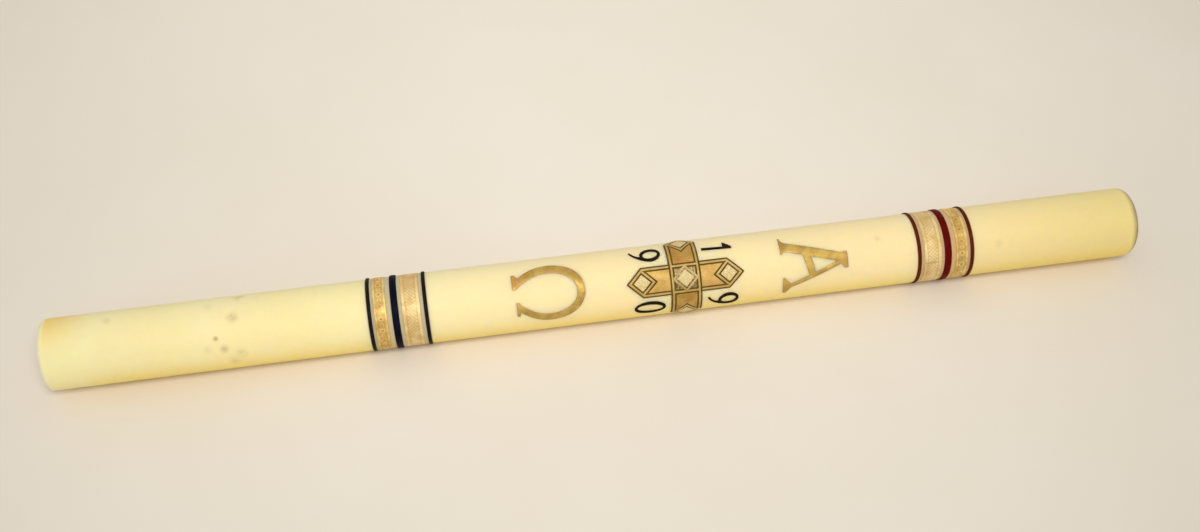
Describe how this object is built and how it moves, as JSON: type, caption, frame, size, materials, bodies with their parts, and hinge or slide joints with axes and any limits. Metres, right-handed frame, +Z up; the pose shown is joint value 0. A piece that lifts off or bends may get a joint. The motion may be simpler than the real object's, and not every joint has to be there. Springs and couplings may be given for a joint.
{
  "type": "paschal candle",
  "caption": "Tall round wax candle with two sets of coloured and gold bands, an omega, an alpha, year numerals and an inlaid cross, lying on its side.",
  "frame": {"origin": "on the surface that the candle lies on, under the middle of its length and of its diameter", "axes": "+X runs along the candle from its foot to its wick, +Z is up, and the cross, alpha and omega face up and towards -Y"},
  "size_m": [1.014, 0.0672, 0.0673],
  "materials": {
    "ivory_wax": "satin",
    "cotton_wick": "matte",
    "navy_wax": "satin",
    "crimson_wax": "satin",
    "dark_red_wax": "satin",
    "gold_sheet": "satin",
    "ochre_sheet": "satin",
    "bronze_sheet": "satin",
    "pale_gold_sheet": "satin",
    "outline_wax": "matte",
    "mosaic_sheet": "satin",
    "cream_sheet": "matte",
    "black_wax": "satin"
  },
  "bodies": {
    "root": {"wax_body": "ivory_wax", "wick": "cotton_wick", "blue_lower_line": "navy_wax", "blue_lower_gold_strip": "gold_sheet", "blue_band": "navy_wax", "blue_upper_gold_strip": "gold_sheet", "blue_upper_line": "navy_wax", "red_lower_line": "dark_red_wax", "red_lower_gold_strip": "gold_sheet", "red_band": "crimson_wax", "red_upper_gold_strip": "gold_sheet", "red_upper_line": "dark_red_wax", "omega": "ochre_sheet", "alpha": "ochre_sheet", "numeral_one": "black_wax", "numeral_nine_upper": "black_wax", "numeral_nine_lower": "black_wax", "numeral_zero": "black_wax", "cross_backing": "outline_wax", "crossbar_frame": "pale_gold_sheet", "upright_frame_upper": "pale_gold_sheet", "upright_frame_lower": "pale_gold_sheet", "upright_fill_upper": "ochre_sheet", "upright_fill_lower": "ochre_sheet", "crossbar_fill_left": "bronze_sheet", "crossbar_fill_right": "bronze_sheet", "lozenge_upper": "cream_sheet", "lozenge_lower": "cream_sheet", "lozenge_left": "cream_sheet", "lozenge_right": "cream_sheet", "centre_panel": "mosaic_sheet", "centre_lozenge_frame": "pale_gold_sheet", "centre_lozenge": "cream_sheet"}
  },
  "joints": []
}
